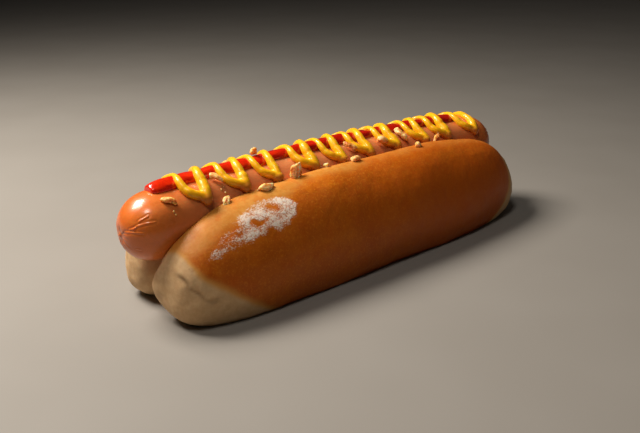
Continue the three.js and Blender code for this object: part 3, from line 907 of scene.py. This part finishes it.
def feed(tree, socket, value):
    """Gives a socket a number, a vector, a colour or another node's output."""
    if isinstance(value, bpy.types.NodeSocket):
        tree.links.new(value, socket)
    elif socket.type == "RGBA":
        socket.default_value = (*value, 1)
    else:
        socket.default_value = value


def put(tree, kind, inputs=(), **settings):
    """A new node, with its inputs by their names or numbers."""
    node = tree.nodes.new(kind)
    for name, value in settings.items():
        setattr(node, name, value)
    for name, value in dict(inputs).items():
        feed(tree, node.inputs[name], value)
    return node


def speckle(tree, size, detail=2.0, stretch=(1, 1, 1)):
    """Noise with features of about `size` mm, fixed to the object."""
    where = put(tree, "ShaderNodeTexCoord").outputs["Object"]
    where = put(tree, "ShaderNodeMapping", {"Vector": where, "Scale": stretch}).outputs["Vector"]
    values = {"Vector": where, "Scale": 0.5 / (size * MM), "Detail": detail, "Roughness": 0.6}
    return put(tree, "ShaderNodeTexNoise", values).outputs["Fac"]


def pits(tree, size):
    """Distance from the middles of cells of about `size` mm."""
    where = put(tree, "ShaderNodeTexCoord").outputs["Object"]
    values = {"Vector": where, "Scale": 1 / (size * MM)}
    return put(tree, "ShaderNodeTexVoronoi", values).outputs["Distance"]


def between(tree, value, low, high, start=0.0, end=1.0):
    """Maps low..high to start..end, with a smooth shoulder at both."""
    values = {"Value": value, "From Min": low, "From Max": high, "To Min": start, "To Max": end}
    return put(tree, "ShaderNodeMapRange", values, interpolation_type="SMOOTHSTEP").outputs["Result"]


def blended(tree, share, first, second):
    """A colour that goes from the first to the second as the share goes from 0 to 1."""
    return put(tree, "ShaderNodeMix", {0: share, 6: first, 7: second}, data_type="RGBA").outputs[2]


def math_of(tree, operation, first, second):
    return put(tree, "ShaderNodeMath", {0: first, 1: second}, operation=operation).outputs[0]


def times(tree, first, second):
    return math_of(tree, "MULTIPLY", first, second)


def plus(tree, first, second):
    return math_of(tree, "ADD", first, second)


def less(tree, first, second):
    return math_of(tree, "SUBTRACT", first, second)


def swing(tree, value, height):
    """A value of 0 to 1 as one of `height` in all that swings about 0."""
    return times(tree, less(tree, value, 0.5), height)


def painted(tree, name):
    return put(tree, "ShaderNodeAttribute", attribute_name=name).outputs["Fac"]


def bumped(tree, height, depth, normal=None):
    """A bump from a height of 0 to 1 that stands for `depth` mm."""
    inputs = {"Height": height, "Strength": 1.0, "Distance": depth * MM}
    if normal is not None:
        inputs["Normal"] = normal
    return put(tree, "ShaderNodeBump", inputs).outputs["Normal"]


def new_material(name):
    material = bpy.data.materials.new(name)
    material.use_nodes = True
    tree = material.node_tree
    shader = next(node for node in tree.nodes if node.type == "BSDF_PRINCIPLED")
    return material, tree, shader


def set_shader(tree, shader, **values):
    for name, value in values.items():
        feed(tree, shader.inputs[name.replace("_", " ")], value)


# Linear colours. A pair is blended by noise.
BAKED = (0.54, 0.122, 0.004), (0.68, 0.178, 0.006)
RUDDY = (0.56, 0.098, 0.002)
DARK_FLECK = (0.42, 0.082, 0.003)
PALE_FLECK = (0.80, 0.290, 0.022)
# Painted shade of the crust, towards the far end and on the near lobe's lower side.
SHADED = (0.46, 0.080, 0.002)
LIP = (0.58, 0.228, 0.032), (0.64, 0.280, 0.052)
CRUST_EDGE = (0.66, 0.29, 0.060), (0.70, 0.34, 0.080)
CREAM = (0.64, 0.395, 0.195), (0.70, 0.455, 0.235)
CRUMB = (0.76, 0.58, 0.36)
# Painted shade in the crease on the near lobe's end.
CREASE_SHADE = (0.33, 0.18, 0.08)
FLOUR = (0.92, 0.79, 0.68)
SAUSAGE_BODY = (0.62, 0.180, 0.056), (0.70, 0.235, 0.082)
SAUSAGE_TIP = (0.68, 0.150, 0.020), (0.77, 0.190, 0.028)
SAUSAGE_FLECK = (0.40, 0.085, 0.020)
# Painted shade in the tips' fine creases.
SAUSAGE_FOLD_SHADE = (0.34, 0.065, 0.014)
KETCHUP_RED = (0.68, 0.016, 0.0008), (0.79, 0.027, 0.0016)
# Painted shade towards the ketchup's far end.
KETCHUP_FAR_SHADE = (0.50, 0.008, 0.0005)
MUSTARD_YELLOW = (0.95, 0.450, 0.006), (0.97, 0.515, 0.010)
MUSTARD_GRAIN = (0.70, 0.300, 0.006)
# Painted shade on the undersides of the mustard's near bends.
MUSTARD_UNDERSIDE_SHADE = (0.54, 0.165, 0.022)
ONION_GOLD = (1.0, 0.68, 0.33), (0.96, 0.45, 0.12)
ONION_BROWN = (0.56, 0.17, 0.02)
FLOOR_GREY = (0.250, 0.232, 0.209), (0.262, 0.244, 0.221)


def crust_colour(tree, brown, fine):
    """The roll's colour without flour: baked crust, a golden edge, pale ends and the open crumb, with
    painted shade towards the far end, on the near lobe's lower side and along the fold on its end.
    """
    broad = between(tree, speckle(tree, 14, 3), 0.35, 0.65)
    dots = between(tree, speckle(tree, 0.4, 2), 0.5, 0.68)
    ruddy = between(tree, speckle(tree, 3.2, 4), 0.48, 0.64)
    baked = blended(tree, broad, *BAKED)
    baked = blended(tree, times(tree, ruddy, 0.5), baked, RUDDY)
    baked = blended(tree, times(tree, fine, 0.35), baked, DARK_FLECK)
    baked = blended(tree, times(tree, dots, 0.45), baked, PALE_FLECK)
    # Painted shade: darker towards the far end and on the near lobe's lower side.
    baked = blended(tree, painted(tree, "painted_shade"), baked, SHADED)
    unruddy = less(tree, 1.0, times(tree, ruddy, 0.45))
    golden = times(tree, painted(tree, "golden"), unruddy)
    baked = blended(tree, golden, baked, blended(tree, fine, *LIP))
    pale = blended(tree, fine, *CREAM)
    edge = blended(tree, broad, *CRUST_EDGE)
    colour = blended(tree, between(tree, brown, 0.02, 0.55), pale, edge)
    colour = blended(tree, between(tree, brown, 0.35, 1.0), colour, baked)
    colour = blended(tree, painted(tree, "crumb"), colour, CRUMB)
    # Painted shade in the crease on the near lobe's end.
    return blended(tree, times(tree, painted(tree, "crease_and_shade"), 0.7), colour, CREASE_SHADE)


def flour_cover(tree):
    """How much of the crust the flour hides: fine grains in blots, with veins free of it."""
    flour = painted(tree, "flour")
    grains = speckle(tree, 0.24, 3, (0.6, 1, 1))
    cover = plus(tree, grains, swing(tree, speckle(tree, 3.0, 2), 0.9))
    cover = plus(tree, cover, swing(tree, flour, 0.8))
    cover = times(tree, between(tree, cover, 0.42, 0.80), between(tree, flour, 0.02, 0.3))
    off_middle = math_of(tree, "ABSOLUTE", less(tree, speckle(tree, 1.1, 3), 0.5), 0.0)
    return times(tree, cover, between(tree, off_middle, 0.0, 0.045, 0.25, 1.0))


def crust_material():
    material, tree, shader = new_material("baked_crust")
    brown = painted(tree, "brown")
    fine = between(tree, speckle(tree, 1.1, 3), 0.36, 0.64)
    cover = flour_cover(tree)
    colour = blended(tree, times(tree, cover, 0.95), crust_colour(tree, brown, fine), FLOUR)
    rough = between(tree, speckle(tree, 3, 3), 0.3, 0.7, 0.42, 0.56)
    rough = plus(tree, rough, times(tree, less(tree, 1.0, brown), 0.2))
    rough = plus(tree, rough, times(tree, cover, 0.25))
    normal = bumped(tree, speckle(tree, 2.4, 4), 0.2)
    normal = bumped(tree, speckle(tree, 0.5, 3), 0.06, normal)
    normal = bumped(tree, cover, 0.07, normal)
    normal = bumped(tree, times(tree, pits(tree, 1.3), painted(tree, "crumb")), 0.35, normal)
    set_shader(
        tree, shader, Base_Color=colour, Roughness=rough, Normal=normal, Specular_IOR_Level=0.25,
        Subsurface_Weight=0.12, Subsurface_Radius=(1.0, 0.5, 0.25), Subsurface_Scale=0.0025,
    )
    return material


def sausage_material():
    material, tree, shader = new_material("frankfurter_skin")
    broad = between(tree, speckle(tree, 11, 3, (0.5, 1, 1)), 0.35, 0.65)
    fine = between(tree, speckle(tree, 0.9, 3), 0.35, 0.65)
    body = blended(tree, broad, *SAUSAGE_BODY)
    tip = blended(tree, broad, *SAUSAGE_TIP)
    colour = blended(tree, painted(tree, "tip"), body, tip)
    colour = blended(tree, times(tree, fine, 0.16), colour, SAUSAGE_FLECK)
    # Painted shade in the tips' fine creases and round their knots.
    colour = blended(tree, times(tree, painted(tree, "fold"), 0.4), colour, SAUSAGE_FOLD_SHADE)
    rough = between(tree, speckle(tree, 4, 3), 0.3, 0.7, 0.24, 0.36)
    normal = bumped(tree, speckle(tree, 2.2, 3, (0.35, 1, 1)), 0.1)
    normal = bumped(tree, speckle(tree, 0.45, 2), 0.02, normal)
    set_shader(
        tree, shader, Base_Color=colour, Roughness=rough, Normal=normal, Coat_Weight=0.35,
        Coat_Roughness=0.16, Specular_IOR_Level=0.4, Subsurface_Weight=0.2,
        Subsurface_Radius=(1.0, 0.3, 0.15), Subsurface_Scale=0.002,
    )
    return material


def ketchup_material():
    material, tree, shader = new_material("tomato_ketchup")
    pulp = between(tree, speckle(tree, 0.7, 3), 0.35, 0.65)
    # Painted shade towards the far end.
    colour = blended(tree, painted(tree, "far"), blended(tree, pulp, *KETCHUP_RED), KETCHUP_FAR_SHADE)
    normal = bumped(tree, speckle(tree, 1.6, 2), 0.07)
    normal = bumped(tree, speckle(tree, 0.35, 2), 0.012, normal)
    rough = between(tree, speckle(tree, 2.5, 2), 0.3, 0.7, 0.14, 0.22)
    set_shader(
        tree, shader, Base_Color=colour, Roughness=rough, Normal=normal, Coat_Weight=0.5,
        Coat_Roughness=0.06, Subsurface_Weight=0.25, Subsurface_Radius=(1.0, 0.12, 0.05),
        Subsurface_Scale=0.0012,
    )
    return material


def mustard_material():
    material, tree, shader = new_material("yellow_mustard")
    paste = between(tree, speckle(tree, 1.4, 3), 0.35, 0.65)
    grain = between(tree, speckle(tree, 0.3, 1), 0.66, 0.74)
    colour = blended(tree, paste, *MUSTARD_YELLOW)
    colour = blended(tree, times(tree, grain, 0.08), colour, MUSTARD_GRAIN)
    # Painted shade on the undersides of the near bends.
    colour = blended(tree, times(tree, painted(tree, "underside_shade"), 0.9), colour, MUSTARD_UNDERSIDE_SHADE)
    normal = bumped(tree, speckle(tree, 0.9, 2), 0.025)
    rough = between(tree, speckle(tree, 2, 2), 0.3, 0.7, 0.3, 0.4)
    set_shader(
        tree, shader, Base_Color=colour, Roughness=rough, Normal=normal, Specular_IOR_Level=0.28,
        Coat_Weight=0.3, Coat_Roughness=0.1, Subsurface_Weight=0.5,
        Subsurface_Radius=(1.0, 0.5, 0.12), Subsurface_Scale=0.0014,
    )
    return material


def onion_material():
    material, tree, shader = new_material("fried_onion")
    fine = between(tree, speckle(tree, 0.6, 3), 0.35, 0.65)
    share = plus(tree, painted(tree, "brown"), swing(tree, fine, 0.3))
    colour = blended(tree, between(tree, share, 0.1, 0.6), *ONION_GOLD)
    colour = blended(tree, between(tree, share, 0.6, 1.0), colour, ONION_BROWN)
    normal = bumped(tree, speckle(tree, 0.5, 3), 0.12)
    rough = between(tree, speckle(tree, 1.2, 2), 0.3, 0.7, 0.36, 0.6)
    set_shader(
        tree, shader, Base_Color=colour, Roughness=rough, Normal=normal, Subsurface_Weight=0.8,
        Subsurface_Radius=(1.0, 0.6, 0.3), Subsurface_Scale=0.0025,
    )
    return material


def floor_material():
    material, tree, shader = new_material("pale_floor")
    grain = between(tree, speckle(tree, 40, 2), 0.3, 0.7)
    set_shader(tree, shader, Base_Color=blended(tree, grain, *FLOOR_GREY), Roughness=0.7)
    return material


# ---- Assembly --------------------

def dress(piece, material, slot, *nodes):
    piece.data.materials.clear()
    piece.data.materials.append(material)
    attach(piece, "root")
    if nodes:
        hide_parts(*nodes)


dress(roll(), crust_material(), "crust", "bun")
dress(frankfurter(), sausage_material(), "sausage_skin", "sausage")
dress(ketchup(), ketchup_material(), "ketchup", "ketchup")
dress(mustard(), mustard_material(), "mustard", "mustard")
onion = onion_material()
for number, node in enumerate(ONIONS):
    dress(flake(node, FLAKE_SEED + FLAKE_SEED_STEP * number), onion, "fried_onion", node)
dress(crumbs(), onion, "fried_onion")

# ---- Floor, light and camera --------------------

FLOOR_HALF = 3.0


def floor():
    corners = [(-1, -1), (1, -1), (1, 1), (-1, 1)]
    mesh = bpy.data.meshes.new("floor")
    mesh.from_pydata([(x * FLOOR_HALF, y * FLOOR_HALF, 0) for x, y in corners], [], [(0, 1, 2, 3)])
    mesh.materials.append(floor_material())
    piece = bpy.data.objects.new("floor", mesh)
    bpy.context.scene.collection.objects.link(piece)


# The lights stand close to the near end, so the far end is darker, as in the photograph.
LIT_SPOT = Vector((-0.08, 0, 0.03))
WORLD_COLOUR = (1.0, 0.92, 0.84, 1)
WORLD_STRENGTH = 0.025


def soft_light(name, direction, distance, size, power, colour):
    """A square light that faces the near end from a direction."""
    data = bpy.data.lights.new(name, "AREA")
    data.shape = "SQUARE"
    data.size = size
    data.energy = power
    data.color = colour
    light = bpy.data.objects.new(name, data)
    away = Vector(direction).normalized()
    light.location = LIT_SPOT + away * distance
    light.rotation_euler = away.to_track_quat("Z", "Y").to_euler()
    bpy.context.scene.collection.objects.link(light)


def lights():
    soft_light(
        "key", direction=(-0.24, 0.50, 0.83), distance=0.5, size=0.22, power=4.96,
        colour=(1.0, 0.92, 0.82),
    )
    soft_light(
        "top", direction=(-0.29, -0.22, 0.93), distance=0.6, size=0.12, power=0.88,
        colour=(1.0, 0.94, 0.86),
    )
    world = bpy.data.worlds.new("studio")
    world.use_nodes = True
    background = world.node_tree.nodes["Background"]
    background.inputs["Color"].default_value = WORLD_COLOUR
    background.inputs["Strength"].default_value = WORLD_STRENGTH
    bpy.context.scene.world = world


# The photograph's camera, fitted to the outlines of the frankfurter and the lobes.
CAMERA_PLACE = (-0.21825, -0.23250, 0.13460)
CAMERA_AZIMUTH = -41.87
CAMERA_ELEVATION = 20.62
CAMERA_LENS = 45.0
CAMERA_SENSOR = 36.0


def camera():
    data = bpy.data.cameras.new("camera")
    data.sensor_width = CAMERA_SENSOR
    data.lens = CAMERA_LENS
    data.clip_start = 0.01
    view = bpy.data.objects.new("camera", data)
    azimuth, elevation = math.radians(CAMERA_AZIMUTH), math.radians(CAMERA_ELEVATION)
    flat = math.cos(elevation)
    back = Vector((math.sin(azimuth) * flat, -math.cos(azimuth) * flat, math.sin(elevation)))
    right = Vector((math.cos(azimuth), math.sin(azimuth), 0))
    up = back.cross(right)
    turn = Matrix((right, up, back)).transposed().to_4x4()
    view.matrix_world = Matrix.Translation(CAMERA_PLACE) @ turn
    bpy.context.scene.collection.objects.link(view)
    bpy.context.scene.camera = view


floor()
lights()
camera()
bpy.context.scene.view_settings.view_transform = "Standard"
